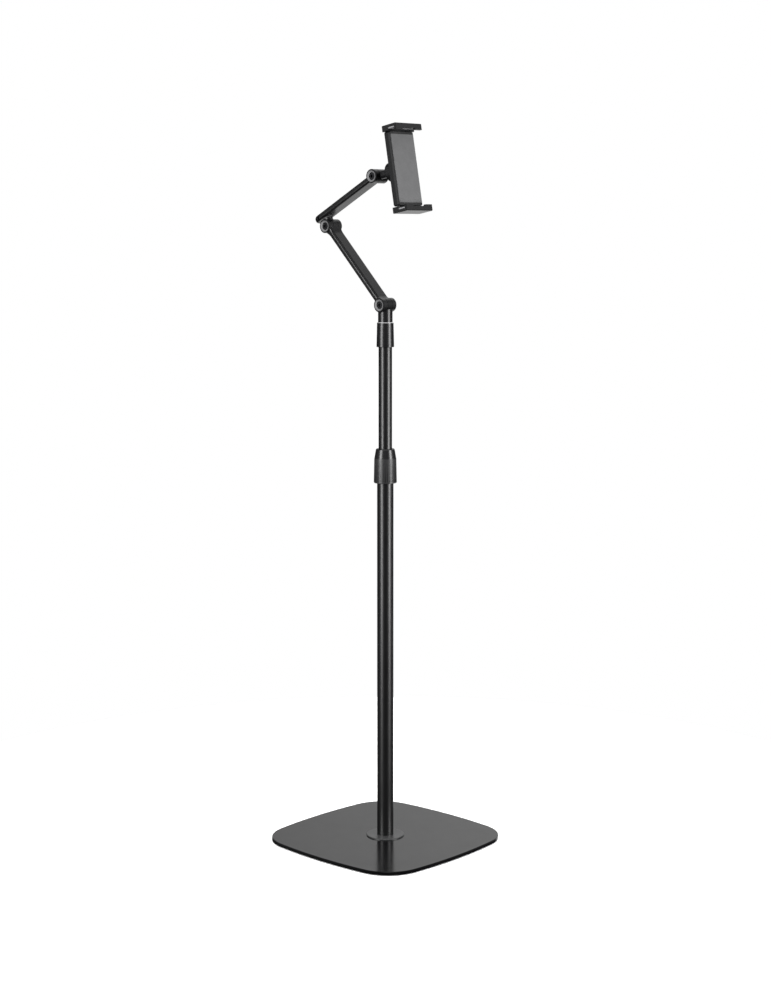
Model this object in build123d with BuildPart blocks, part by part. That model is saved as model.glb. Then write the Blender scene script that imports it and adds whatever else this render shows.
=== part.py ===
from build123d import *
import math
import os

# Adjustable tablet floor stand: a flat steel foot, a telescopic pole with a twist lock,
# two hinged arms and a spring clamp on a ball head. Millimetres, +Z up, +X to the user.
# The origin is on the floor under the middle of the foot.

# Shared fits
running_gap = 0.05
sliding_gap = 0.08
seat_gap = 0.1
swing_gap = 0.4
cut_over = 1.0

# Foot plate and its feet
plate_width = 292.0
plate_side_radius = 727.0
plate_corner_radius = 61.0
plate_thick = 5.0
plate_edge = 0.6
feet_thick = 1.5
feet_dia = 24.0
feet_edge = 0.4
feet_margin = 26.0
foot_disc_dia = 58.0
foot_disc_thick = 1.8
foot_disc_edge = 0.6

# Bolt that holds the pole to the plate
base_bolt_dia = 8.0
base_bolt_head_dia = 15.5
base_bolt_sunk = 0.3
base_bolt_grip = 18.0
base_bolt_socket = 5.0
base_bolt_socket_depth = 2.4
foot_plug_height = 22.0

# Telescopic pole
lower_tube_dia = 25.0
lower_tube_wall = 1.5
lower_tube_length = 572.0
upper_tube_dia = 20.5
upper_tube_wall = 1.2
upper_tube_length = 520.0
end_guide_height = 12.0
end_guide_spigot = 10.0
end_guide_wall = 2.4

# Twist lock, its overlap measured down from the top of the lower tube
lock_overlap = 26.0
lock_grip_height = 37.5
lock_cone_height = 14.5
grip_bottom_dia = 35.0
grip_top_dia = 33.6
grip_wall = 1.8
grip_rim = 2.2
grip_rim_edge = 0.8
grip_rib_count = 40
grip_groove_depth = 0.7
grip_groove_share = 0.5
cone_bottom_dia = 33.2
cone_top_dia = 28.6
cone_edge = 1.0
thread_ring_wall = 2.0
thread_ring_height = 22.0
collet_skirt_height = 18.0
collet_flange_thick = 2.5
collet_flange_dia = 28.0
collet_cone_height = 13.0
collet_top_dia = 23.6
collet_slit = 1.2
collet_slit_count = 4

# Sleeve on top of the upper tube, and the post that turns in it
sleeve_bottom = 753.0
sleeve_height = 37.5
sleeve_bottom_dia = 26.7
sleeve_top_dia = 25.0
sleeve_edge = 0.6
sleeve_socket = 20.0
sleeve_web = 3.5
bush_dia = 18.1
bush_flange_dia = 20.0
bush_flange_thick = 1.0
bush_proud = 0.2
spigot_dia = 14.0
post_dia = 22.0
post_stem_width = 18.0
post_stem_height = 6.5
spigot_end_play = 0.2
spigot_washer_dia = 17.0
spigot_washer_thick = 1.5
spigot_screw_dia = 5.0
spigot_screw_length = 14.0
spigot_head_dia = 8.5
spigot_head_height = 5.0

# Hinge barrels, the same at shoulder, elbow and wrist
barrel_dia = 21.4
barrel_length = 28.6
barrel_edge = 0.6
tongue_width = 10.0
hinge_washer_thick = 0.6
hinge_washer_dia = 20.0
end_cap_thick = 2.5
end_cap_spigot_dia = 17.0
end_cap_spigot_depth = 1.2
end_cap_edge = 1.0
hinge_bolt_dia = 6.0
hinge_bolt_head_dia = 10.0
hinge_bolt_head_height = 4.0
hinge_bolt_socket = 5.0
hinge_bolt_socket_depth = 2.6
hinge_pocket_dia = 11.6
hinge_pocket_depth = 5.6
hinge_nut_flats = 10.0
hinge_nut_thick = 3.0
trim_ring_dia = 17.0
trim_ring_bevel = 1.2
trim_ring_foot = 0.6

# Arms
arm_width = 24.5
arm_thick = 9.6
arm_edge_share = 0.4
lower_arm_length = 165.4
shoulder_blend = 8.0
elbow_blend = 25.0
wrist_blend = 8.0
upper_arm_reach = 122.4
upper_arm_tail = 9.0
elbow_offset = 19.3
shoulder_height = 816.7
lower_arm_angle = 133.85
upper_arm_angle = 28.3
clamp_angle = 10.3

# Swivel between elbow knuckle and upper arm
knuckle_dia = 14.4
swivel_washer_dia = 16.4
swivel_washer_thick = 1.2
swivel_bolt_dia = 6.0
swivel_bolt_grip = 9.0
swivel_head_dia = 9.5
swivel_head_height = 2.6
swivel_head_socket = 4.0
swivel_head_socket_depth = 1.6
swivel_top_washer_dia = 11.6
swivel_top_washer_thick = 0.8
swivel_pocket_dia = 12.4
swivel_pocket_depth = 5.0
swivel_cap_thick = 1.2

# Neck and ball head
neck_dia = 12.8
neck_taper = 2.0
neck_tip_dia = 10.6
clamp_distance = 47.1
ball_dia = 17.0
ball_depth = 12.0
ball_shank_dia = 10.0
ball_pin_dia = 6.0
ball_pin_length = 8.0
ball_shank_bare = 12.2
seat_dia = 22.0
seat_behind_ball = 5.0
seat_before_ball = 6.0
seat_mouth_dia = 13.8
seat_bevel = 1.8
socket_boss_wall = 1.55
socket_boss_height = 14.0
socket_relief_dia = 13.2
socket_relief_depth = 3.0
ring_nut_dia = 29.6
ring_nut_length = 21.5
ring_nut_rear_dia = 20.4
ring_nut_mouth_dia = 16.2
ring_nut_start = 1.5
ring_nut_grooves = 24
ring_nut_groove_depth = 0.6
ring_nut_groove_share = 0.45

# Clamp body
clamp_width = 52.0
clamp_height = 112.2
clamp_corner = 3.0
back_shell_depth = 8.5
back_shell_edge = 1.2
shell_wall = 2.0
front_plate_thick = 3.8
front_plate_edge = 0.5
pad_width = 49.6
pad_height = 103.8
pad_thick = 1.8
pad_recess = 1.0
pad_corner = 1.5
pad_edge = 0.4
clamp_screw_dia = 2.8
clamp_screw_head_dia = 5.4
clamp_screw_length = 7.0
clamp_screw_head_height = 1.1
screw_column_dia = 5.2
screw_spread_x = 21.2
screw_spread_y = 51.1

# Jaws and what slides inside the clamp
jaw_width = 58.0
jaw_depth = 28.5
jaw_plate = 4.4
jaw_block = 9.2
jaw_lip_thick = 4.0
jaw_lip_drop = 7.1
jaw_finger_drop = 9.7
jaw_finger_width = 14.5
jaw_finger_slope = 2.0
jaw_corner = 1.5
jaw_edge = 0.7
jaw_block_depth = 13.0
top_jaw_gap = 0.1
bottom_jaw_gap = 1.6
jaw_pad_thick = 2.0
jaw_pad_margin = 0.2
slider_width = 34.0
slider_thick = 2.2
slider_length = 86.0
slider_seat = 6.0
slider_first_depth = 2.3
slider_spacing = 0.6
slider_slot_gap = 0.2
lug_width = 4.6
lug_height = 3.0
spring_dia = 2.6
spring_hole_dia = 1.4
anchor_height = 3.0

# Heights and places worked out from the sizes above
plate_top = feet_thick + plate_thick
lower_tube_inner = lower_tube_dia - 2 * lower_tube_wall
upper_tube_inner = upper_tube_dia - 2 * upper_tube_wall
lower_tube_top = plate_top + lower_tube_length
sleeve_low = plate_top + sleeve_bottom
sleeve_top = sleeve_low + sleeve_height
upper_tube_top = sleeve_low + sleeve_socket
upper_tube_low = upper_tube_top - upper_tube_length
web_top = upper_tube_top + sleeve_web
post_low = sleeve_top + bush_proud + running_gap
barrel_half = barrel_length / 2
tongue_half = tongue_width / 2
ear_inner = tongue_half + running_gap + hinge_washer_thick
rear_ear_face = end_cap_thick - barrel_half
swing_radius = barrel_dia / 2 + swing_gap
arm_edge = arm_edge_share * arm_thick
bolt_floor = barrel_half - hinge_pocket_depth
nut_floor = rear_ear_face + end_cap_spigot_depth + seat_gap + hinge_nut_thick
trim_seat = barrel_half - trim_ring_bevel - trim_ring_foot


def direction(angle):
    """Unit vector in the XZ plane, its angle taken from +X towards +Z."""
    return Vector(math.cos(math.radians(angle)), 0, math.sin(math.radians(angle)))


def hinge_frame(centre, angle):
    """Local x runs away from the hinge, local z along its axis, out of the front cap."""
    return Plane(origin=centre, x_dir=direction(angle), z_dir=(0, -1, 0))


def axis_frame(centre, angle):
    """Local z runs along the given direction, local x along the hinge axes."""
    return Plane(origin=centre, x_dir=(0, 1, 0), z_dir=direction(angle))


shoulder = Vector(0, 0, plate_top + shoulder_height)
elbow = shoulder + direction(lower_arm_angle) * lower_arm_length
swivel_angle = upper_arm_angle + 90
arm_root = elbow + direction(swivel_angle) * elbow_offset
wrist = arm_root + direction(upper_arm_angle) * upper_arm_reach
clamp_back = wrist + direction(clamp_angle) * clamp_distance

floor_frame = Plane.XY
shoulder_frame = hinge_frame(shoulder, lower_arm_angle)
elbow_frame = hinge_frame(elbow, lower_arm_angle + 180)
wrist_frame = hinge_frame(wrist, upper_arm_angle + 180)
post_frame = axis_frame(elbow, swivel_angle)
neck_frame = axis_frame(wrist, clamp_angle)
clamp_frame = axis_frame(clamp_back, clamp_angle)
ball_centre = clamp_back - direction(clamp_angle) * ball_depth
ball_frame = axis_frame(ball_centre, clamp_angle)

os.makedirs("parts", exist_ok=True)


def save(piece, name):
    """Labels a finished piece and writes it under its own name."""
    piece.part.label = name
    export_step(piece.part, f"parts/{name}.step")


def disc(frame, low, high, radius, mode=Mode.ADD):
    """Adds or cuts a round block about the frame's z axis, from low to high."""
    with BuildSketch(frame.offset(low)) as circle:
        Circle(radius)
    extrude(circle.sketch, amount=high - low, mode=mode)


def hexagon(frame, low, high, flats, mode=Mode.ADD):
    """Adds or cuts a hexagonal block about the frame's z axis, from low to high."""
    with BuildSketch(frame.offset(low)) as outline:
        RegularPolygon(flats / 2, 6, major_radius=False)
    extrude(outline.sketch, amount=high - low, mode=mode)


def turn(frame, *points, mode=Mode.ADD):
    """Revolves an outline of (radius, height) points about the frame's z axis."""
    with BuildSketch(Plane(frame.origin, x_dir=frame.x_dir, z_dir=-frame.y_dir)) as profile:
        with BuildLine():
            Polyline(*points, close=True)
        make_face()
    revolve(profile.sketch, axis=Axis(frame.origin, frame.z_dir), mode=mode)


# Foot: plate with bowed sides, rubber feet, cover disc, bolt and plug
# The corner arc is tangent to two side arcs, which fixes its centre on the diagonal
side_centre = plate_side_radius - plate_width / 2
corner_reach = plate_side_radius - plate_corner_radius
corner_centre = (math.sqrt(2 * corner_reach**2 - side_centre**2) - side_centre) / 2
side_angle = math.degrees(math.atan2(corner_centre, side_centre + corner_centre))
feet_place = corner_centre + (plate_corner_radius - feet_margin) / math.sqrt(2)

with BuildPart() as base_plate:
    with BuildSketch(floor_frame.offset(feet_thick)):
        with BuildLine():
            for quarter in range(4):
                turned = quarter * 90
                CenterArc(
                    Vector(-side_centre, 0).rotate(Axis.Z, turned),
                    plate_side_radius,
                    turned - side_angle,
                    2 * side_angle,
                )
                CenterArc(
                    Vector(corner_centre, corner_centre).rotate(Axis.Z, turned),
                    plate_corner_radius,
                    turned + side_angle,
                    90 - 2 * side_angle,
                )
        make_face()
    extrude(amount=plate_thick)
    chamfer(base_plate.faces().sort_by(Axis.Z)[-1].edges(), length=plate_edge)
    disc(floor_frame, 0, plate_top + cut_over, base_bolt_dia / 2 + seat_gap, Mode.SUBTRACT)
    head_drop = (base_bolt_head_dia - base_bolt_dia) / 2
    turn(
        floor_frame,
        (0, 0),
        (base_bolt_head_dia / 2 + seat_gap, 0),
        (base_bolt_head_dia / 2 + seat_gap, feet_thick + base_bolt_sunk),
        (base_bolt_dia / 2 + seat_gap, feet_thick + base_bolt_sunk + head_drop),
        (0, feet_thick + base_bolt_sunk + head_drop),
        mode=Mode.SUBTRACT,
    )
save(base_plate, "base_plate")

with BuildPart() as base_feet:
    with BuildSketch(floor_frame):
        with GridLocations(2 * feet_place, 2 * feet_place, 2, 2):
            Circle(feet_dia / 2)
    extrude(amount=feet_thick)
    chamfer(base_feet.faces().group_by(Axis.Z)[0].edges(), length=feet_edge)
save(base_feet, "base_feet")

with BuildPart() as foot_disc:
    disc_top = plate_top + foot_disc_thick
    turn(
        floor_frame,
        (lower_tube_dia / 2 + seat_gap, plate_top),
        (foot_disc_dia / 2, plate_top),
        (foot_disc_dia / 2, disc_top - foot_disc_edge),
        (foot_disc_dia / 2 - foot_disc_edge, disc_top),
        (lower_tube_dia / 2 + seat_gap, disc_top),
    )
save(foot_disc, "foot_disc")

with BuildPart() as base_bolt:
    bolt_low = feet_thick + base_bolt_sunk
    turn(
        floor_frame,
        (0, bolt_low),
        (base_bolt_head_dia / 2, bolt_low),
        (base_bolt_dia / 2, bolt_low + head_drop),
        (base_bolt_dia / 2, plate_top + base_bolt_grip),
        (0, plate_top + base_bolt_grip),
    )
    hexagon(
        floor_frame, 0, bolt_low + base_bolt_socket_depth, base_bolt_socket, Mode.SUBTRACT
    )
save(base_bolt, "base_bolt")

with BuildPart() as tube_foot_plug:
    disc(floor_frame, plate_top, plate_top + foot_plug_height, lower_tube_inner / 2 - running_gap)
    disc(
        floor_frame,
        plate_top - cut_over,
        plate_top + foot_plug_height + cut_over,
        base_bolt_dia / 2 + running_gap,
        Mode.SUBTRACT,
    )
save(tube_foot_plug, "tube_foot_plug")

# Pole: two tubes and the guide at the inner end of the upper one
with BuildPart() as lower_tube:
    with BuildSketch(floor_frame.offset(plate_top)):
        Circle(lower_tube_dia / 2)
        Circle(lower_tube_inner / 2, mode=Mode.SUBTRACT)
    extrude(amount=lower_tube_length)
save(lower_tube, "lower_tube")

with BuildPart() as upper_tube:
    with BuildSketch(floor_frame.offset(upper_tube_low)):
        Circle(upper_tube_dia / 2)
        Circle(upper_tube_inner / 2, mode=Mode.SUBTRACT)
    extrude(amount=upper_tube_length)
save(upper_tube, "upper_tube")

with BuildPart() as tube_end_guide:
    guide_spigot = upper_tube_inner / 2 - running_gap
    disc(
        floor_frame,
        upper_tube_low - end_guide_height,
        upper_tube_low,
        lower_tube_inner / 2 - sliding_gap,
    )
    disc(floor_frame, upper_tube_low, upper_tube_low + end_guide_spigot, guide_spigot)
    disc(
        floor_frame,
        upper_tube_low - end_guide_height - cut_over,
        upper_tube_low + end_guide_spigot + cut_over,
        guide_spigot - end_guide_wall,
        Mode.SUBTRACT,
    )
save(tube_end_guide, "tube_end_guide")

# Twist lock: thread ring on the lower tube, split collet, nut with its ribbed grip
lock_low = lower_tube_top - lock_overlap
grip_top = lock_low + lock_grip_height
lock_top = grip_top + lock_cone_height
thread_outer = lower_tube_dia / 2 + seat_gap + thread_ring_wall
collet_bore = upper_tube_dia / 2 + sliding_gap
flange_top = lower_tube_top + collet_flange_thick
collet_top = flange_top + collet_cone_height

with BuildPart() as thread_ring:
    turn(
        floor_frame,
        (lower_tube_dia / 2 + seat_gap, lower_tube_top - thread_ring_height),
        (thread_outer, lower_tube_top - thread_ring_height),
        (thread_outer, lower_tube_top),
        (lower_tube_dia / 2 + seat_gap, lower_tube_top),
    )
save(thread_ring, "thread_ring")

with BuildPart() as lock_collet:
    turn(
        floor_frame,
        (collet_bore, lower_tube_top - collet_skirt_height),
        (lower_tube_inner / 2 - seat_gap, lower_tube_top - collet_skirt_height),
        (lower_tube_inner / 2 - seat_gap, lower_tube_top),
        (collet_flange_dia / 2, lower_tube_top),
        (collet_flange_dia / 2, flange_top),
        (collet_top_dia / 2, collet_top),
        (collet_bore, collet_top),
    )
    with BuildSketch(floor_frame.offset(flange_top)):
        with PolarLocations(collet_flange_dia / 2, collet_slit_count):
            Rectangle(collet_flange_dia / 2, collet_slit)
    extrude(amount=collet_cone_height + cut_over, mode=Mode.SUBTRACT)
save(lock_collet, "lock_collet")

with BuildPart() as lock_nut:
    skirt_outer = grip_top_dia / 2 - grip_wall
    turn(
        floor_frame,
        (thread_outer + sliding_gap, lock_low + grip_rim),
        (skirt_outer, lock_low + grip_rim),
        (skirt_outer, grip_top),
        (cone_bottom_dia / 2, grip_top),
        (cone_top_dia / 2, lock_top - cone_edge),
        (cone_top_dia / 2 - cone_edge, lock_top),
        (upper_tube_dia / 2 + swing_gap, lock_top),
        (upper_tube_dia / 2 + swing_gap, collet_top + seat_gap),
        (collet_top_dia / 2 + swing_gap, collet_top + seat_gap),
        (collet_flange_dia / 2 + swing_gap, flange_top + seat_gap),
        (thread_outer + sliding_gap, flange_top + seat_gap),
    )
save(lock_nut, "lock_nut")

with BuildPart() as lock_grip:
    rim_bore = thread_outer + seat_gap
    turn(
        floor_frame,
        (rim_bore, lock_low),
        (grip_bottom_dia / 2 - grip_rim_edge, lock_low),
        (grip_bottom_dia / 2, lock_low + grip_rim_edge),
        (grip_bottom_dia / 2, lock_low + grip_rim),
        (grip_top_dia / 2, grip_top),
        (skirt_outer + running_gap, grip_top),
        (skirt_outer + running_gap, lock_low + grip_rim - running_gap),
        (rim_bore, lock_low + grip_rim - running_gap),
    )
    groove_pitch = math.pi * grip_bottom_dia / grip_rib_count
    with BuildSketch(floor_frame.offset(lock_low + grip_rim)):
        with PolarLocations(grip_bottom_dia / 2, grip_rib_count):
            Rectangle(2 * grip_groove_depth, groove_pitch * grip_groove_share)
    extrude(amount=lock_grip_height, mode=Mode.SUBTRACT)
save(lock_grip, "lock_grip")

# Sleeve, swivel bush, post and the screw that holds the post down
with BuildPart() as top_sleeve:
    turn(
        floor_frame,
        (0, sleeve_low),
        (sleeve_bottom_dia / 2 - sleeve_edge, sleeve_low),
        (sleeve_bottom_dia / 2, sleeve_low + sleeve_edge),
        (sleeve_top_dia / 2, sleeve_top - sleeve_edge),
        (sleeve_top_dia / 2 - sleeve_edge, sleeve_top),
        (0, sleeve_top),
    )
    for low, high, radius in (
        (sleeve_low - cut_over, upper_tube_top, upper_tube_dia / 2 + running_gap),
        (sleeve_low, sleeve_top, spigot_dia / 2 + swing_gap),
        (web_top, sleeve_top + cut_over, bush_dia / 2 + running_gap),
        (
            sleeve_top + bush_proud - bush_flange_thick,
            sleeve_top + cut_over,
            bush_flange_dia / 2 + seat_gap,
        ),
    ):
        disc(floor_frame, low, high, radius, Mode.SUBTRACT)
save(top_sleeve, "top_sleeve")

with BuildPart() as swivel_bush:
    flange_low = sleeve_top + bush_proud - bush_flange_thick
    turn(
        floor_frame,
        (spigot_dia / 2 + running_gap, web_top),
        (bush_dia / 2, web_top),
        (bush_dia / 2, flange_low),
        (bush_flange_dia / 2, flange_low),
        (bush_flange_dia / 2, sleeve_top + bush_proud),
        (spigot_dia / 2 + running_gap, sleeve_top + bush_proud),
    )
save(swivel_bush, "swivel_bush")


def hinge_tongue(frame):
    """Clears the ears' space round a stem and gives it the middle part of the barrel."""
    for side in (-1, 1):
        face = frame.offset(side * tongue_half)
        with BuildSketch(face) as ear_space:
            Circle(swing_radius)
        extrude(ear_space.sketch, amount=side * barrel_half, mode=Mode.SUBTRACT)
    disc(frame, -tongue_half, tongue_half, barrel_dia / 2)
    bore = hinge_bolt_dia / 2 + running_gap
    disc(frame, -barrel_half, barrel_half, bore, Mode.SUBTRACT)


spigot_low = upper_tube_top - spigot_end_play
with BuildPart() as head_post:
    disc(floor_frame, post_low, shoulder.Z - post_stem_height, post_dia / 2)
    disc(floor_frame, spigot_low, post_low, spigot_dia / 2)
    with BuildSketch(floor_frame.offset(shoulder.Z - post_stem_height)):
        Rectangle(post_stem_width, tongue_width)
    extrude(amount=post_stem_height)
    hinge_tongue(shoulder_frame)
    disc(
        floor_frame,
        spigot_low - cut_over,
        spigot_low + spigot_screw_length,
        spigot_screw_dia / 2 + running_gap,
        Mode.SUBTRACT,
    )
save(head_post, "head_post")

washer_low = spigot_low - spigot_washer_thick
with BuildPart() as spigot_washer:
    disc(floor_frame, washer_low, spigot_low, spigot_washer_dia / 2)
    disc(
        floor_frame,
        washer_low - cut_over,
        spigot_low + cut_over,
        spigot_screw_dia / 2 + seat_gap,
        Mode.SUBTRACT,
    )
save(spigot_washer, "spigot_washer")

with BuildPart() as spigot_screw:
    head_low = washer_low - spigot_head_height
    disc(floor_frame, head_low, washer_low, spigot_head_dia / 2)
    disc(
        floor_frame,
        washer_low,
        spigot_low + spigot_screw_length - seat_gap,
        spigot_screw_dia / 2,
    )
    hexagon(
        floor_frame,
        head_low - cut_over,
        head_low + spigot_head_height / 2,
        spigot_head_dia / 2,
        Mode.SUBTRACT,
    )
save(spigot_screw, "spigot_screw")


# Hinge hardware, made alike for the three barrels
def hinge_ears(frame):
    """Two ears of a fork, with the seats for bolt, nut, trim ring and end cap."""
    radius = barrel_dia / 2
    disc(frame, -barrel_half, rear_ear_face, radius + running_gap, Mode.SUBTRACT)
    turn(
        frame,
        (0, rear_ear_face),
        (radius, rear_ear_face),
        (radius, barrel_half - barrel_edge),
        (radius - barrel_edge, barrel_half),
        (0, barrel_half),
    )
    disc(frame, -ear_inner, ear_inner, swing_radius, Mode.SUBTRACT)
    bore = hinge_bolt_dia / 2 + seat_gap
    for low, high, size in (
        (rear_ear_face - cut_over, barrel_half + cut_over, bore),
        (bolt_floor, barrel_half + cut_over, hinge_pocket_dia / 2),
        (trim_seat, barrel_half + cut_over, trim_ring_dia / 2 + running_gap),
        (
            rear_ear_face - cut_over,
            rear_ear_face + end_cap_spigot_depth + seat_gap,
            end_cap_spigot_dia / 2 + running_gap,
        ),
    ):
        disc(frame, low, high, size, Mode.SUBTRACT)
    flats = hinge_nut_flats + 2 * seat_gap
    hexagon(frame, rear_ear_face - cut_over, nut_floor, flats, Mode.SUBTRACT)


def hinge_hardware(frame, name):
    """Bolt, nut, friction washers, trim ring and end cap of one hinge."""
    with BuildPart() as bolt:
        disc(frame, bolt_floor, bolt_floor + hinge_bolt_head_height, hinge_bolt_head_dia / 2)
        disc(frame, nut_floor - hinge_nut_thick, bolt_floor, hinge_bolt_dia / 2)
        socket_floor = bolt_floor + hinge_bolt_head_height - hinge_bolt_socket_depth
        hexagon(frame, socket_floor, barrel_half, hinge_bolt_socket, Mode.SUBTRACT)
    save(bolt, f"{name}_bolt")

    with BuildPart() as nut:
        hexagon(frame, nut_floor - hinge_nut_thick, nut_floor, hinge_nut_flats)
        bore = hinge_bolt_dia / 2 + running_gap
        disc(frame, -barrel_half, barrel_half, bore, Mode.SUBTRACT)
    save(nut, f"{name}_nut")

    with BuildPart() as washers:
        for low in (tongue_half + running_gap, -ear_inner):
            disc(frame, low, low + hinge_washer_thick, hinge_washer_dia / 2)
        bore = hinge_bolt_dia / 2 + seat_gap
        disc(frame, -barrel_half, barrel_half, bore, Mode.SUBTRACT)
    save(washers, f"{name}_washers")

    with BuildPart() as trim_ring:
        turn(
            frame,
            (hinge_pocket_dia / 2, trim_seat),
            (trim_ring_dia / 2, trim_seat),
            (trim_ring_dia / 2, barrel_half),
            (hinge_pocket_dia / 2, barrel_half - trim_ring_bevel),
        )
    save(trim_ring, f"{name}_trim_ring")

    with BuildPart() as end_cap:
        radius = barrel_dia / 2
        turn(
            frame,
            (0, -barrel_half),
            (radius - end_cap_edge, -barrel_half),
            (radius, end_cap_edge - barrel_half),
            (radius, rear_ear_face),
            (end_cap_spigot_dia / 2, rear_ear_face),
            (end_cap_spigot_dia / 2, rear_ear_face + end_cap_spigot_depth),
            (0, rear_ear_face + end_cap_spigot_depth),
        )
    save(end_cap, f"{name}_end_cap")


def round_arm_edges(arm):
    """Rounds the long edges of an arm's two narrow sides."""
    rims = arm.faces().filter_by(Axis.Y).edges()
    fillet(rims, radius=arm_edge)


# Lower arm: one casting with a fork at each end
with BuildPart() as lower_arm:
    with BuildSketch(shoulder_frame) as lower_outline:
        with Locations((0, 0), (lower_arm_length, 0)):
            Circle(barrel_dia / 2)
        with Locations((lower_arm_length / 2, 0)):
            Rectangle(lower_arm_length, arm_thick)
        fillet(lower_outline.vertices().group_by(Axis.X)[1], radius=elbow_blend)
        fillet(lower_outline.vertices().group_by(Axis.X)[0], radius=shoulder_blend)
    extrude(amount=arm_width / 2, both=True)
    round_arm_edges(lower_arm)
    hinge_ears(shoulder_frame)
    hinge_ears(elbow_frame)
save(lower_arm, "lower_arm")
hinge_hardware(shoulder_frame, "shoulder")
hinge_hardware(elbow_frame, "elbow")

# Elbow knuckle, the swivel bolt through the upper arm and its washers
arm_underside = elbow_offset - arm_thick / 2
arm_topside = elbow_offset + arm_thick / 2
knuckle_top = arm_underside - swivel_washer_thick - running_gap
pocket_floor = arm_topside - swivel_pocket_depth
top_washer_high = pocket_floor + running_gap + swivel_top_washer_thick
swivel_head_top = top_washer_high + swivel_head_height
swivel_tip = knuckle_top - swivel_bolt_grip

with BuildPart() as elbow_knuckle:
    disc(post_frame, 0, knuckle_top, knuckle_dia / 2)
    hinge_tongue(elbow_frame)
    disc(
        post_frame,
        swivel_tip - seat_gap,
        knuckle_top + cut_over,
        swivel_bolt_dia / 2 + running_gap,
        Mode.SUBTRACT,
    )
save(elbow_knuckle, "elbow_knuckle")

with BuildPart() as swivel_washer:
    disc(post_frame, knuckle_top, knuckle_top + swivel_washer_thick, swivel_washer_dia / 2)
    bore = swivel_bolt_dia / 2 + seat_gap
    disc(post_frame, 0, elbow_offset, bore, Mode.SUBTRACT)
save(swivel_washer, "swivel_washer")

with BuildPart() as swivel_top_washer:
    disc(
        post_frame, pocket_floor + running_gap, top_washer_high, swivel_top_washer_dia / 2
    )
    bore = swivel_bolt_dia / 2 + seat_gap
    disc(post_frame, 0, arm_topside, bore, Mode.SUBTRACT)
save(swivel_top_washer, "swivel_top_washer")

with BuildPart() as swivel_bolt:
    disc(post_frame, swivel_tip, top_washer_high, swivel_bolt_dia / 2)
    disc(post_frame, top_washer_high, swivel_head_top, swivel_head_dia / 2)
    socket_floor = swivel_head_top - swivel_head_socket_depth
    hexagon(post_frame, socket_floor, arm_topside, swivel_head_socket, Mode.SUBTRACT)
save(swivel_bolt, "swivel_bolt")

# Upper arm: a fork at the wrist, a round tail behind the swivel
upper_bar_length = upper_arm_reach + upper_arm_tail
tail_centre = arm_root + direction(upper_arm_angle + 180) * upper_arm_tail
with BuildPart() as upper_arm:
    with BuildSketch(wrist_frame) as upper_outline:
        Circle(barrel_dia / 2)
        with Locations((upper_bar_length / 2, 0)):
            Rectangle(upper_bar_length, arm_thick)
        fillet(upper_outline.vertices().group_by(Axis.X)[0], radius=wrist_blend)
    extrude(amount=arm_width / 2, both=True)
    round_arm_edges(upper_arm)
    with BuildSketch(axis_frame(tail_centre, upper_arm_angle + 180)) as tail_half:
        with Locations((arm_width / 4, 0)):
            Rectangle(arm_width / 2, arm_thick)
        fillet(tail_half.vertices().group_by(Axis.X)[-1], radius=arm_edge)
    revolve(axis=Axis(tail_centre, direction(swivel_angle)), revolution_arc=180)
    hinge_ears(wrist_frame)
    for low, high, radius in (
        (0, arm_topside + cut_over, swivel_bolt_dia / 2 + running_gap),
        (pocket_floor, arm_topside + cut_over, swivel_pocket_dia / 2),
    ):
        disc(post_frame, low, high, radius, Mode.SUBTRACT)
save(upper_arm, "upper_arm")
hinge_hardware(wrist_frame, "wrist")

with BuildPart() as swivel_cap:
    disc(
        post_frame,
        arm_topside - swivel_cap_thick,
        arm_topside,
        swivel_pocket_dia / 2 - running_gap,
    )
save(swivel_cap, "swivel_cap")

# Neck and ball head
neck_end = clamp_distance - ball_depth - ball_shank_bare
with BuildPart() as clamp_neck:
    turn(
        neck_frame,
        (0, 0),
        (neck_dia / 2, 0),
        (neck_dia / 2, neck_end - neck_taper),
        (neck_tip_dia / 2, neck_end),
        (0, neck_end),
    )
    hinge_tongue(hinge_frame(wrist, clamp_angle))
    pin_bore = ball_pin_dia / 2 + running_gap
    pin_floor = neck_end - ball_pin_length - seat_gap
    disc(neck_frame, pin_floor, neck_end + cut_over, pin_bore, Mode.SUBTRACT)
save(clamp_neck, "clamp_neck")

with BuildPart() as ball_stud:
    disc(ball_frame, -ball_shank_bare - ball_pin_length, -ball_shank_bare, ball_pin_dia / 2)
    disc(ball_frame, -ball_shank_bare, 0, ball_shank_dia / 2)
    with BuildSketch(Plane(ball_frame.origin, x_dir=(0, 1, 0), z_dir=-ball_frame.y_dir)):
        Circle(ball_dia / 2)
        with Locations((ball_dia / 2, 0)):
            Rectangle(ball_dia, 2 * ball_dia, mode=Mode.SUBTRACT)
    revolve(axis=Axis(ball_frame.origin, ball_frame.z_dir))
save(ball_stud, "ball_stud")

with BuildPart() as ball_seat:
    turn(
        ball_frame,
        (0, -seat_behind_ball),
        (seat_dia / 2 - seat_bevel, -seat_behind_ball),
        (seat_dia / 2, seat_bevel - seat_behind_ball),
        (seat_dia / 2, seat_before_ball),
        (0, seat_before_ball),
    )
    with BuildSketch(Plane(ball_frame.origin, x_dir=(0, 1, 0), z_dir=-ball_frame.y_dir)):
        Circle(ball_dia / 2 + running_gap)
        with Locations((ball_dia / 2 + cut_over, 0)):
            Rectangle(ball_dia + 2 * cut_over, 2 * ball_dia, mode=Mode.SUBTRACT)
    revolve(axis=Axis(ball_frame.origin, ball_frame.z_dir), mode=Mode.SUBTRACT)
    disc(ball_frame, -seat_dia, 0, seat_mouth_dia / 2, Mode.SUBTRACT)
save(ball_seat, "ball_seat")

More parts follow.
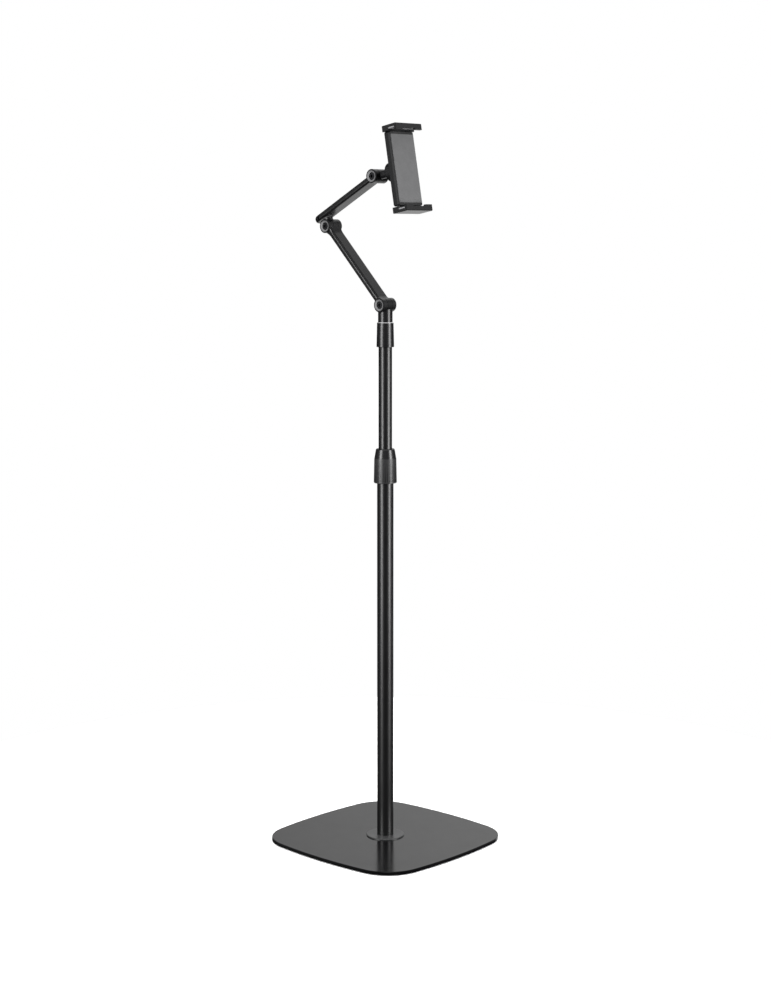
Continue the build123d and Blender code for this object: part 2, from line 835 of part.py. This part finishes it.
# Ring nut that squeezes the seat, in the clamp's own frame, which looks forward
boss_radius = seat_dia / 2 + running_gap + socket_boss_wall
nut_radius = ring_nut_dia / 2
nut_rear = -ring_nut_start - ring_nut_length
nut_flare = nut_radius - ring_nut_rear_dia / 2
seat_rear = -ball_depth - seat_behind_ball
with BuildPart() as ring_nut:
    turn(
        clamp_frame,
        (boss_radius + sliding_gap, -ring_nut_start),
        (nut_radius, -ring_nut_start),
        (nut_radius, nut_rear + nut_flare),
        (ring_nut_rear_dia / 2, nut_rear),
        (ring_nut_mouth_dia / 2, nut_rear),
        (seat_dia / 2 - seat_bevel, seat_rear - seat_gap),
        (seat_dia / 2 + seat_gap, seat_rear + seat_bevel - seat_gap),
        (boss_radius + sliding_gap, seat_rear + seat_bevel + seat_gap),
    )
    groove_wide = math.pi * ring_nut_dia / ring_nut_grooves * ring_nut_groove_share
    with BuildSketch(clamp_frame.offset(nut_rear + nut_flare)):
        with PolarLocations(nut_radius, ring_nut_grooves):
            Rectangle(2 * ring_nut_groove_depth, groove_wide)
    extrude(amount=ring_nut_length, mode=Mode.SUBTRACT)
save(ring_nut, "ring_nut")

# Clamp body: back shell with the ball socket, front plate, pad and screws
slider_back = slider_first_depth
slider_front = slider_first_depth + slider_thick
second_back = slider_front + slider_spacing
second_front = second_back + slider_thick
clamp_half = clamp_height / 2
inner_half = clamp_half - shell_wall
screw_places = ((screw_spread_x, screw_spread_y), (-screw_spread_x, screw_spread_y))
screw_places += tuple((-x, -y) for x, y in screw_places)


def block(frame, low, high, x_range, y_range, mode=Mode.ADD):
    """Adds or cuts a square block between two heights of the frame."""
    with BuildSketch(frame.offset(low)) as outline:
        with Locations((sum(x_range) / 2, sum(y_range) / 2)):
            Rectangle(x_range[1] - x_range[0], y_range[1] - y_range[0])
    extrude(outline.sketch, amount=high - low, mode=mode)


def slider_slot(low, high, end):
    """Cuts the slot in one end wall of the shell that a slider runs through."""
    wide = slider_width / 2 + slider_slot_gap
    reach = sorted((end * (inner_half - cut_over), end * (clamp_half + cut_over)))
    block(
        clamp_frame,
        low - slider_slot_gap,
        high + slider_slot_gap,
        (-wide, wide),
        reach,
        Mode.SUBTRACT,
    )


with BuildPart() as clamp_back_shell:
    with BuildSketch(clamp_frame):
        RectangleRounded(clamp_width, clamp_height, clamp_corner)
    extrude(amount=back_shell_depth)
    back_rim = clamp_back_shell.faces().filter_by(lambda face: face.is_planar)
    back_rim = back_rim.sort_by(Axis(clamp_back, clamp_frame.z_dir))[0].edges()
    chamfer(back_rim, length=back_shell_edge)
    inner = clamp_width / 2 - shell_wall
    block(
        clamp_frame,
        shell_wall,
        back_shell_depth + cut_over,
        (-inner, inner),
        (-inner_half, inner_half),
        Mode.SUBTRACT,
    )
    slider_slot(slider_back, slider_front, 1)
    slider_slot(second_back, second_front, -1)
    disc(clamp_frame, -socket_boss_height, shell_wall, boss_radius)
    socket_floor = seat_before_ball + seat_gap - ball_depth
    disc(
        clamp_frame,
        -socket_boss_height - cut_over,
        socket_floor,
        seat_dia / 2 + running_gap,
        Mode.SUBTRACT,
    )
    relief_top = socket_floor + socket_relief_depth
    disc(clamp_frame, socket_floor, relief_top, socket_relief_dia / 2, Mode.SUBTRACT)
    for x, y in screw_places:
        hole = Plane(
            clamp_frame.from_local_coords(Vector(x, y)),
            x_dir=clamp_frame.x_dir,
            z_dir=clamp_frame.z_dir,
        )
        disc(hole, 0, shell_wall, clamp_screw_dia / 2 + seat_gap, Mode.SUBTRACT)
        head = clamp_screw_head_dia / 2 + seat_gap
        disc(hole, 0, clamp_screw_head_height, head, Mode.SUBTRACT)
    block(
        clamp_frame,
        shell_wall,
        slider_back + spring_dia,
        (-lug_width / 2, lug_width / 2),
        (-inner_half, -inner_half + anchor_height),
    )
save(clamp_back_shell, "clamp_back_shell")

anchor_low = inner_half - anchor_height
plate_front = back_shell_depth + front_plate_thick
with BuildPart() as clamp_front_plate:
    with BuildSketch(clamp_frame.offset(back_shell_depth)):
        RectangleRounded(clamp_width, clamp_height, clamp_corner)
    extrude(amount=front_plate_thick)
    front_rim = clamp_front_plate.faces().filter_by(lambda face: face.is_planar)
    front_rim = front_rim.sort_by(Axis(clamp_back, clamp_frame.z_dir))[-1].edges()
    chamfer(front_rim, length=front_plate_edge)
    with BuildSketch(clamp_frame.offset(plate_front - pad_recess)):
        RectangleRounded(pad_width + 2 * seat_gap, pad_height + 2 * seat_gap, pad_corner)
    extrude(amount=pad_recess + cut_over, mode=Mode.SUBTRACT)
    for x, y in screw_places:
        column = Plane(
            clamp_frame.from_local_coords(Vector(x, y)),
            x_dir=clamp_frame.x_dir,
            z_dir=clamp_frame.z_dir,
        )
        disc(column, shell_wall, back_shell_depth, screw_column_dia / 2)
        screw_tip = clamp_screw_head_height + clamp_screw_length + seat_gap
        bore = clamp_screw_dia / 2 + running_gap
        disc(column, shell_wall, screw_tip, bore, Mode.SUBTRACT)
    block(
        clamp_frame,
        second_front - spring_dia,
        back_shell_depth,
        (-lug_width / 2, lug_width / 2),
        (anchor_low, inner_half - seat_gap),
    )
save(clamp_front_plate, "clamp_front_plate")

with BuildPart() as clamp_pad:
    with BuildSketch(clamp_frame.offset(plate_front - pad_recess)):
        RectangleRounded(pad_width, pad_height, pad_corner)
    extrude(amount=pad_thick)
    pad_rim = clamp_pad.faces().filter_by(lambda face: face.is_planar)
    pad_rim = pad_rim.sort_by(Axis(clamp_back, clamp_frame.z_dir))[-1].edges()
    chamfer(pad_rim, length=pad_edge)
save(clamp_pad, "clamp_pad")

with BuildPart() as clamp_screws:
    for x, y in screw_places:
        hole = Plane(
            clamp_frame.from_local_coords(Vector(x, y)),
            x_dir=clamp_frame.x_dir,
            z_dir=clamp_frame.z_dir,
        )
        disc(hole, 0, clamp_screw_head_height, clamp_screw_head_dia / 2)
        shank_end = clamp_screw_head_height + clamp_screw_length
        disc(hole, clamp_screw_head_height, shank_end, clamp_screw_dia / 2)
save(clamp_screws, "clamp_screws")


# Jaws: each has a block on its slider, a shelf, a lip with two fingers and a soft pad
def jaw_frame(end, gap):
    """Local x runs across the jaw, local y out of the clamp, local z forward."""
    origin = clamp_frame.from_local_coords(Vector(0, end * (clamp_half + gap)))
    return Plane(origin, x_dir=end * clamp_frame.x_dir, z_dir=clamp_frame.z_dir)


shelf_inside = jaw_block - jaw_plate
lip_back = jaw_depth - jaw_lip_thick
lip_low = jaw_block - jaw_lip_drop
finger_low = jaw_block - jaw_finger_drop


def make_jaw(frame, slider_low, slider_high):
    """The jaw's side outline, its ends chamfered, then the lip's notch and the seat."""
    with BuildSketch(Plane(frame.origin, x_dir=frame.z_dir, z_dir=-frame.x_dir)) as side:
        with BuildLine():
            Polyline(
                (0, 0),
                (jaw_block_depth, 0),
                (jaw_block_depth, shelf_inside),
                (lip_back, shelf_inside),
                (lip_back, finger_low),
                (jaw_depth, finger_low),
                (jaw_depth, jaw_block),
                (0, jaw_block),
                close=True,
            )
        make_face()
        fillet(side.vertices().group_by(Axis.Y)[-1], radius=jaw_corner)
    ends = extrude(side.sketch, amount=jaw_width / 2, both=True)
    chamfer(ends.faces().filter_by(Axis.Y).edges(), length=jaw_edge)
    notch_half = jaw_width / 2 - jaw_finger_width
    with BuildSketch(frame.offset(lip_back - cut_over)) as notch:
        with BuildLine():
            Polyline(
                (-notch_half, finger_low - cut_over),
                (notch_half, finger_low - cut_over),
                (notch_half, finger_low),
                (notch_half - jaw_finger_slope, lip_low),
                (jaw_finger_slope - notch_half, lip_low),
                (-notch_half, finger_low),
                close=True,
            )
        make_face()
    extrude(notch.sketch, amount=jaw_lip_thick + 2 * cut_over, mode=Mode.SUBTRACT)
    seat_half = slider_width / 2 + seat_gap
    block(
        frame,
        slider_low - seat_gap,
        slider_high + seat_gap,
        (-seat_half, seat_half),
        (-cut_over, slider_seat + seat_gap),
        Mode.SUBTRACT,
    )


def make_jaw_pad(frame):
    """Soft strip that lies under the shelf, between the block and the lip."""
    half = jaw_width / 2 - jaw_pad_margin
    block(
        frame,
        jaw_block_depth + seat_gap,
        lip_back - seat_gap,
        (-half, half),
        (shelf_inside - jaw_pad_thick, shelf_inside),
    )


def make_slider(frame, low, high):
    """Flat tongue from the jaw's block into the clamp, with a lug for its spring."""
    half = slider_width / 2
    end = slider_seat - slider_length
    block(frame, low, high, (-half, half), (end, slider_seat))
    block(frame, low, high, (-lug_width / 2, lug_width / 2), (end - lug_height, end))


def make_spring(frame, middle, gap):
    """Closed tube in the space of the coil spring, from the lug to its anchor."""
    start = slider_length + lug_height + seat_gap - slider_seat
    finish = clamp_half + gap + anchor_low - seat_gap
    lug_end = frame.from_local_coords(Vector(0, -start, middle))
    along = Plane(lug_end, x_dir=frame.x_dir, z_dir=-frame.y_dir)
    disc(along, 0, finish - start, spring_dia / 2)
    disc(along, -cut_over, finish, spring_hole_dia / 2, Mode.SUBTRACT)


top_frame = jaw_frame(1, top_jaw_gap)
bottom_frame = jaw_frame(-1, bottom_jaw_gap)

with BuildPart() as top_jaw:
    make_jaw(top_frame, slider_back, slider_front)
save(top_jaw, "top_jaw")

with BuildPart() as bottom_jaw:
    make_jaw(bottom_frame, second_back, second_front)
save(bottom_jaw, "bottom_jaw")

with BuildPart() as top_jaw_pad:
    make_jaw_pad(top_frame)
save(top_jaw_pad, "top_jaw_pad")

with BuildPart() as bottom_jaw_pad:
    make_jaw_pad(bottom_frame)
save(bottom_jaw_pad, "bottom_jaw_pad")

with BuildPart() as top_slider:
    make_slider(top_frame, slider_back, slider_front)
save(top_slider, "top_slider")

with BuildPart() as bottom_slider:
    make_slider(bottom_frame, second_back, second_front)
save(bottom_slider, "bottom_slider")

with BuildPart() as top_spring:
    make_spring(top_frame, slider_back + spring_dia / 2, top_jaw_gap)
save(top_spring, "top_spring")

with BuildPart() as bottom_spring:
    make_spring(bottom_frame, second_front - spring_dia / 2, bottom_jaw_gap)
save(bottom_spring, "bottom_spring")
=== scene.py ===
import math
from collections import namedtuple

import bmesh
import bpy
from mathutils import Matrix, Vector


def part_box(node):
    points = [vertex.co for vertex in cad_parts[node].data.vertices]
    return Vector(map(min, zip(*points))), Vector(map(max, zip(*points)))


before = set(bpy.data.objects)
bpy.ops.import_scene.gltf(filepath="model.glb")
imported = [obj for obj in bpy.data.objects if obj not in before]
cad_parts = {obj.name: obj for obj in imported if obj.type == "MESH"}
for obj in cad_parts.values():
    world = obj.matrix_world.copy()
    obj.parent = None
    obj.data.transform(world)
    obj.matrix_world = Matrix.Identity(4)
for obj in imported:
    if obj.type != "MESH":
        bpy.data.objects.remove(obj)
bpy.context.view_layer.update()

# The photograph's camera, level with the head and turned round the pole
CAMERA_AZIMUTH = math.radians(42.758)
CAMERA_DISTANCE = 2.8992
CAMERA_ASIDE = 0.0003
CAMERA_HEIGHT = 0.9325
CAMERA_PITCH = math.radians(3.84)
CAMERA_LENS = 68.976
CAMERA_SENSOR = 36.0
CAMERA_SHIFT_UP = -0.1388

# Directions on the floor: from the pole to the camera, and to the camera's right
TOWARDS = Vector((math.sin(CAMERA_AZIMUTH), -math.cos(CAMERA_AZIMUTH), 0.0))
RIGHT = Vector((math.cos(CAMERA_AZIMUTH), math.sin(CAMERA_AZIMUTH), 0.0))
UP = Vector((0.0, 0.0, 1.0))

# Floor and backdrop
FLOOR_RADIUS = 0.9
FLOOR_SIDES = 96
FLOOR_COLOUR = (0.93, 0.93, 0.93)
WHITE = (1.0, 1.0, 1.0)
BACKDROP_LIGHT = 1.0
ROOM_LIGHT = 0.03

# Pale panels of the room: their direction towards the camera, to its right and up,
# the cosines from that direction at which they begin and are full, and their light
ROOM_PANELS = (
    (0.0, 0.0, 1.0, 0.92, 0.985, 2.6),
    (-0.8, 0.25, 0.55, 0.8, 0.97, 0.88),
    (-0.79, 0.22, -0.57, 0.82, 0.97, 1.05),
    (-0.1, -1.0, -0.1, 0.8, 1.0, 0.1),
    (-0.3, 1.0, 0.0, 0.8, 1.0, 0.06),
    (1.0, 0.0, 0.6, 0.86, 0.97, 0.4),
    (0.0, -1.0, 0.6, 0.86, 0.97, 0.35),
    (0.0, 1.0, 0.6, 0.86, 0.97, 0.35),
)

# Softboxes: the turn from the camera's side round the pole, and the power
SIDE_BOXES = (
    ("left_softbox", math.radians(-51.0), 76.0),
    ("right_softbox", math.radians(62.0), 88.0),
)
SIDE_BOX_DISTANCE = 2.1
SIDE_BOX_WIDTH = 0.8
SIDE_BOX_HEIGHT = 2.02
SIDE_BOX_MIDDLE = 0.89
TOP_LIGHT_STRENGTH = 2.6
TOP_LIGHT_SPREAD = math.radians(75.0)

# Base colours
TUBE_BLACK = (0.002, 0.002, 0.0022)
BLACK = (0.004, 0.004, 0.0044)
ALLOY_BLACK = (0.006, 0.006, 0.0065)
SHELL_BLACK = (0.006, 0.006, 0.0064)
SOOT = (0.009, 0.009, 0.0096)
GRIP_BLACK = (0.015, 0.015, 0.0155)
DISC_GREY = (0.022, 0.022, 0.0225)
OXIDE = (0.03, 0.03, 0.032)
NYLON = (0.05, 0.05, 0.052)
PAD_GREY = (0.07, 0.07, 0.0715)
RING_GREY = (0.15, 0.15, 0.153)
JAW_PAD_GREY = (0.16, 0.16, 0.165)
ZINC = (0.52, 0.53, 0.55)
POLISHED = (0.6, 0.61, 0.62)
CUT_ALLOY = (0.6, 0.6, 0.61)

# Grain of each kind of surface, in metres: the size and detail of the clouds in its colour,
# how light they are next to it, and the size, detail and swing of the grain in its gloss
Grain = namedtuple("Grain", "clouds clouds_detail lightness gloss gloss_detail swing")
POWDER = Grain(0.035, 3.0, 1.35, 0.02, 3.0, 0.02)
TURNED = Grain(0.02, 2.0, 1.3, 0.0015, 2.0, 0.02)
CAST = Grain(0.018, 3.0, 1.4, 0.02, 3.0, 0.02)
PLATING = Grain(0.002, 3.0, 0.75, 0.0012, 3.0, 0.07)
MOULD = Grain(0.015, 2.0, 1.25, 0.0009, 3.0, 0.05)
SOFT = Grain(0.012, 3.0, 1.15, 0.0012, 2.0, 0.06)
EVEN = (1.0, 1.0, 1.0)
UPRIGHT = (0.02, 0.02, 1.0)

# The noise's middle range, which carries most of it
NOISE_LOW = 0.3
NOISE_HIGH = 0.7

# Turned lines on the trim rings, and the bright edge on top of the sleeve
TOOL_PITCH = 0.0005
TOOL_SHADE = 0.75
RING_GLOSS = 0.0015
RING_GLOSS_DETAIL = 2.0
RING_GLOSS_SWING = 0.06
CUT_EDGE = 0.0007

SOFT_SHEEN = 0.04
SOFT_SHEEN_ROUGHNESS = 0.5

HINGES = ("shoulder", "elbow", "wrist")
ACROSS = Vector((0.0, 1.0, 0.0))


def aim(obj, place, target):
    """Puts a lamp or camera at a place, looking at a target."""
    obj.location = place
    obj.rotation_euler = (target - place).to_track_quat("-Z", "Y").to_euler()


def shaded(colour, share):
    """The colour, made lighter or darker."""
    return tuple(c * share for c in colour)


def make_camera():
    data = bpy.data.cameras.new("photo_camera")
    data.sensor_width = CAMERA_SENSOR
    data.lens = CAMERA_LENS
    data.shift_y = CAMERA_SHIFT_UP
    camera = bpy.data.objects.new("photo_camera", data)
    bpy.context.scene.collection.objects.link(camera)
    place = TOWARDS * CAMERA_DISTANCE + RIGHT * CAMERA_ASIDE + UP * CAMERA_HEIGHT
    ahead = -TOWARDS * math.cos(CAMERA_PITCH) - UP * math.sin(CAMERA_PITCH)
    aim(camera, place, place + ahead)
    bpy.context.scene.camera = camera


def make_lights():
    for name, turn, power in SIDE_BOXES:
        light = bpy.data.lights.new(name, "AREA")
        light.shape = "RECTANGLE"
        light.size = SIDE_BOX_WIDTH
        light.size_y = SIDE_BOX_HEIGHT
        light.energy = power
        box = bpy.data.objects.new(name, light)
        bpy.context.scene.collection.objects.link(box)
        box.visible_camera = False
        outwards = TOWARDS * math.cos(turn) + RIGHT * math.sin(turn)
        place = outwards * SIDE_BOX_DISTANCE + UP * SIDE_BOX_MIDDLE
        aim(box, place, UP * SIDE_BOX_MIDDLE)
    light = bpy.data.lights.new("top_light", "SUN")
    light.energy = TOP_LIGHT_STRENGTH
    light.angle = TOP_LIGHT_SPREAD
    lamp = bpy.data.objects.new("top_light", light)
    lamp.visible_glossy = False
    bpy.context.scene.collection.objects.link(lamp)


def make_world():
    """A white backdrop for the camera, and a dark room with soft pale panels round the object."""
    world = bpy.data.worlds.new("studio_room")
    world.use_nodes = True
    bpy.context.scene.world = world
    nodes, links = world.node_tree.nodes, world.node_tree.links
    nodes.clear()
    direction = nodes.new("ShaderNodeTexCoord").outputs["Generated"]
    total = None
    for towards, across, up, edge, core, light in ROOM_PANELS:
        along = nodes.new("ShaderNodeVectorMath")
        along.operation = "DOT_PRODUCT"
        panel = TOWARDS * towards + RIGHT * across + UP * up
        along.inputs[1].default_value = panel.normalized()
        links.new(direction, along.inputs[0])
        fade = nodes.new("ShaderNodeMapRange")
        fade.interpolation_type = "SMOOTHSTEP"
        fade.inputs["From Min"].default_value = edge
        fade.inputs["From Max"].default_value = core
        fade.inputs["To Max"].default_value = light
        links.new(along.outputs["Value"], fade.inputs["Value"])
        lit = nodes.new("ShaderNodeMath")
        links.new(fade.outputs["Result"], lit.inputs[0])
        if total:
            links.new(total, lit.inputs[1])
        else:
            lit.inputs[1].default_value = ROOM_LIGHT
        total = lit.outputs[0]
    room = nodes.new("ShaderNodeBackground")
    room.inputs["Color"].default_value = (*WHITE, 1.0)
    links.new(total, room.inputs["Strength"])
    backdrop = nodes.new("ShaderNodeBackground")
    backdrop.inputs["Color"].default_value = (*WHITE, 1.0)
    backdrop.inputs["Strength"].default_value = BACKDROP_LIGHT
    path = nodes.new("ShaderNodeLightPath")
    either = nodes.new("ShaderNodeMixShader")
    links.new(path.outputs["Is Camera Ray"], either.inputs[0])
    links.new(room.outputs[0], either.inputs[1])
    links.new(backdrop.outputs[0], either.inputs[2])
    out = nodes.new("ShaderNodeOutputWorld")
    links.new(either.outputs[0], out.inputs["Surface"])


def make_floor():
    """A pale round floor, which throws no light back and isn't reflected: the blacks stay black."""
    mesh = bpy.data.meshes.new("studio_floor")
    shape = bmesh.new()
    bmesh.ops.create_circle(shape, cap_ends=True, radius=FLOOR_RADIUS, segments=FLOOR_SIDES)
    shape.to_mesh(mesh)
    shape.free()
    floor = bpy.data.objects.new("studio_floor", mesh)
    bpy.context.scene.collection.objects.link(floor)
    material = bpy.data.materials.new("studio_paper")
    material.use_nodes = True
    nodes, links = material.node_tree.nodes, material.node_tree.links
    nodes.clear()
    paper = nodes.new("ShaderNodeBsdfDiffuse")
    paper.inputs["Color"].default_value = (*FLOOR_COLOUR, 1.0)
    out = nodes.new("ShaderNodeOutputMaterial")
    links.new(paper.outputs[0], out.inputs["Surface"])
    mesh.materials.append(material)
    floor.visible_diffuse = False
    floor.visible_glossy = False


class Finish:
    """One procedural material under way: its shader, and the nodes that lead to it."""

    def __init__(self, name, colour, roughness, metallic=0.0, specular=0.5):
        self.material = bpy.data.materials.new(name)
        self.material.use_nodes = True
        self.nodes = self.material.node_tree.nodes
        self.links = self.material.node_tree.links
        self.nodes.clear()
        self.shader = self.nodes.new("ShaderNodeBsdfPrincipled")
        out = self.nodes.new("ShaderNodeOutputMaterial")
        self.links.new(self.shader.outputs[0], out.inputs["Surface"])
        self.place = self.nodes.new("ShaderNodeTexCoord").outputs["Object"]
        self.colour = colour
        self.roughness = roughness
        self.shader.inputs["Base Color"].default_value = (*colour, 1.0)
        self.shader.inputs["Roughness"].default_value = roughness
        self.shader.inputs["Metallic"].default_value = metallic
        self.shader.inputs["Specular IOR Level"].default_value = specular

    def noise(self, size, detail, stretch=EVEN):
        """Noise with features of about that size in metres."""
        spread = self.nodes.new("ShaderNodeMapping")
        spread.inputs["Scale"].default_value = stretch
        self.links.new(self.place, spread.inputs["Vector"])
        grain = self.nodes.new("ShaderNodeTexNoise")
        grain.inputs["Scale"].default_value = 1.0 / size
        grain.inputs["Detail"].default_value = detail
        self.links.new(spread.outputs[0], grain.inputs["Vector"])
        return grain.outputs["Fac"]

    def between(self, value, low, high, start=NOISE_LOW, end=NOISE_HIGH):
        """The value's middle range, spread over low to high."""
        spread = self.nodes.new("ShaderNodeMapRange")
        spread.inputs["From Min"].default_value = start
        spread.inputs["From Max"].default_value = end
        spread.inputs["To Min"].default_value = low
        spread.inputs["To Max"].default_value = high
        self.links.new(value, spread.inputs["Value"])
        return spread.outputs["Result"]

    def vary_colour(self, value, other):
        """Mixes the base colour with another one where the value is high."""
        mix = self.nodes.new("ShaderNodeMix")
        mix.data_type = "RGBA"
        mix.inputs["A"].default_value = (*self.colour, 1.0)
        mix.inputs["B"].default_value = (*other, 1.0)
        self.links.new(self.between(value, 0.0, 1.0), mix.inputs["Factor"])
        self.links.new(mix.outputs["Result"], self.shader.inputs["Base Color"])

    def vary_roughness(self, value, swing):
        spread = self.between(value, self.roughness - swing, self.roughness + swing)
        self.links.new(spread, self.shader.inputs["Roughness"])

    def grain(self, kind, stretch=EVEN):
        """Clouds in the colour and grain in the gloss, the latter stretched where it says so."""
        clouds = self.noise(kind.clouds, kind.clouds_detail)
        self.vary_colour(clouds, shaded(self.colour, kind.lightness))
        self.vary_roughness(self.noise(kind.gloss, kind.gloss_detail, stretch), kind.swing)

    def rings(self, centre, axis, pitch):
        """Fine turned lines round an axis: a wave of the distance from it and along it."""
        from_centre = self.nodes.new("ShaderNodeVectorMath")
        from_centre.operation = "SUBTRACT"
        from_centre.inputs[1].default_value = centre
        self.links.new(self.place, from_centre.inputs[0])
        along = self.nodes.new("ShaderNodeVectorMath")
        along.operation = "DOT_PRODUCT"
        along.inputs[1].default_value = axis
        self.links.new(from_centre.outputs[0], along.inputs[0])
        across = self.nodes.new("ShaderNodeVectorMath")
        across.operation = "CROSS_PRODUCT"
        across.inputs[1].default_value = axis
        self.links.new(from_centre.outputs[0], across.inputs[0])
        reach = self.nodes.new("ShaderNodeVectorMath")
        reach.operation = "LENGTH"
        self.links.new(across.outputs[0], reach.inputs[0])
        total = self.nodes.new("ShaderNodeMath")
        total.operation = "ADD"
        self.links.new(along.outputs["Value"], total.inputs[0])
        self.links.new(reach.outputs["Value"], total.inputs[1])
        lines = self.nodes.new("ShaderNodeMath")
        lines.operation = "PINGPONG"
        lines.inputs[1].default_value = pitch / 2
        self.links.new(total.outputs[0], lines.inputs[0])
        return self.between(lines.outputs[0], 0.0, 1.0, 0.0, pitch / 2)

    def cut_edge(self, low, high, colour):
        """A bright edge cut through the dark skin, between two heights."""
        height = self.nodes.new("ShaderNodeSeparateXYZ")
        self.links.new(self.place, height.inputs[0])
        inside = self.nodes.new("ShaderNodeMath")
        inside.operation = "COMPARE"
        inside.inputs[1].default_value = (low + high) / 2
        inside.inputs[2].default_value = (high - low) / 2
        self.links.new(height.outputs["Z"], inside.inputs[0])
        mix = self.nodes.new("ShaderNodeMix")
        mix.data_type = "RGBA"
        mix.inputs["B"].default_value = (*colour, 1.0)
        self.links.new(inside.outputs[0], mix.inputs["Factor"])
        skin = self.shader.inputs["Base Color"].links[0].from_socket
        self.links.new(skin, mix.inputs["A"])
        self.links.new(mix.outputs["Result"], self.shader.inputs["Base Color"])


def powder_coat(name, colour, roughness, specular=0.5):
    """Baked powder paint: a little cloudiness in its colour and gloss."""
    finish = Finish(name, colour, roughness, specular=specular)
    finish.grain(POWDER)
    return finish.material


def anodised(name, colour, roughness):
    """Turned and anodised alloy: fine lines round the upright axis. Returns the finish."""
    finish = Finish(name, colour, roughness, metallic=0.35)
    finish.grain(TURNED, UPRIGHT)
    return finish


def cast_satin(name, colour, roughness):
    """Cast alloy under thin satin paint: the soft unevenness of the casting."""
    finish = Finish(name, colour, roughness, metallic=0.1)
    finish.grain(CAST)
    return finish.material


def bare_metal(name, colour, roughness, centre, axis):
    """Turned alloy, blasted to a pale satin, with tool marks."""
    finish = Finish(name, colour, roughness, metallic=0.3)
    finish.vary_colour(finish.rings(centre, axis, TOOL_PITCH), shaded(colour, TOOL_SHADE))
    finish.vary_roughness(finish.noise(RING_GLOSS, RING_GLOSS_DETAIL), RING_GLOSS_SWING)
    return finish.material


def plated(name, colour, roughness):
    """Zinc or oxide plating, or polish: metal with a cloudy, slightly grained skin."""
    finish = Finish(name, colour, roughness, metallic=1.0)
    finish.grain(PLATING)
    return finish.material


def moulded(name, colour, roughness, specular=0.5):
    """Moulded plastic: the fine grain of a sparked mould, and faint flow clouds."""
    finish = Finish(name, colour, roughness, specular=specular)
    finish.grain(MOULD)
    return finish.material


def rubber(name, colour, roughness):
    """Silicone or rubber: matt, with a soft sheen and a fine grain."""
    finish = Finish(name, colour, roughness, specular=0.35)
    finish.shader.inputs["Sheen Weight"].default_value = SOFT_SHEEN
    finish.shader.inputs["Sheen Roughness"].default_value = SOFT_SHEEN_ROUGHNESS
    finish.grain(SOFT)
    return finish.material


def dress(material, *nodes):
    """Gives carried-over nodes a material of their own."""
    for node in nodes:
        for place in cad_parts[node].material_slots:
            place.material = material


def each_hinge(ending):
    return [hinge + ending for hinge in HINGES]


def dress_stand():
    plate = powder_coat("plate_powder_coat", TUBE_BLACK, roughness=0.17, specular=0.36)
    dress(plate, "base_plate")
    dress(powder_coat("disc_powder_coat", DISC_GREY, roughness=0.3), "foot_disc")
    tubes = powder_coat("tube_powder_coat", TUBE_BLACK, roughness=0.34, specular=0.4)
    dress(tubes, "lower_tube", "upper_tube")
    dress(rubber("foot_rubber_grain", SOOT, roughness=0.8), "base_feet")


def dress_lock():
    gloss = moulded("gloss_plastic", BLACK, roughness=0.28, specular=0.4)
    dress(gloss, "lock_nut", "thread_ring")
    dress(rubber("grip_rubber", GRIP_BLACK, roughness=0.38), "lock_grip")
    inner = moulded("nylon", NYLON, roughness=0.5)
    dress(inner, "lock_collet", "tube_end_guide", "tube_foot_plug", "swivel_bush", "ball_seat")
    dress(inner, "swivel_washer", *each_hinge("_washers"))


def dress_head():
    sleeve = anodised("sleeve_anodised", ALLOY_BLACK, roughness=0.3)
    sleeve_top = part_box("top_sleeve")[1].z
    sleeve.cut_edge(sleeve_top - CUT_EDGE, sleeve_top, CUT_ALLOY)
    dress(sleeve.material, "top_sleeve")
    dress(anodised("post_anodised", ALLOY_BLACK, roughness=0.3).material, "head_post")
    arms = cast_satin("arm_satin", BLACK, roughness=0.3)
    dress(arms, "lower_arm", "upper_arm", "elbow_knuckle", "clamp_neck")
    for ring in each_hinge("_trim_ring"):
        low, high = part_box(ring)
        dress(bare_metal(ring + "_alloy", RING_GREY, 0.6, (low + high) / 2, ACROSS), ring)
    cap = moulded("cap_plastic_grain", BLACK, roughness=0.32)
    dress(cap, "swivel_cap", *each_hinge("_end_cap"))
    zinc = plated("zinc_plate", ZINC, roughness=0.34)
    dress(zinc, "base_bolt", "spigot_washer", "swivel_top_washer", "top_spring", "bottom_spring")
    dress(zinc, *each_hinge("_nut"))
    oxide = plated("black_oxide", OXIDE, roughness=0.4)
    dress(oxide, "spigot_screw", "swivel_bolt", "clamp_screws", "top_slider", "bottom_slider")
    dress(oxide, *each_hinge("_bolt"))
    dress(plated("polished_steel", POLISHED, roughness=0.16), "ball_stud")


def dress_clamp():
    shell = moulded("clamp_grain", BLACK, roughness=0.28)
    dress(shell, "clamp_back_shell", "ring_nut", "top_jaw", "bottom_jaw")
    dress(moulded("front_plate_grain", SHELL_BLACK, roughness=0.36), "clamp_front_plate")
    dress(rubber("pad_silicone_grain", PAD_GREY, roughness=0.5), "clamp_pad")
    jaw_pads = rubber("jaw_silicone_grain", JAW_PAD_GREY, roughness=0.5)
    dress(jaw_pads, "top_jaw_pad", "bottom_jaw_pad")


make_camera()
make_world()
make_lights()
make_floor()
dress_stand()
dress_lock()
dress_head()
dress_clamp()

bpy.context.scene.view_settings.view_transform = "Standard"
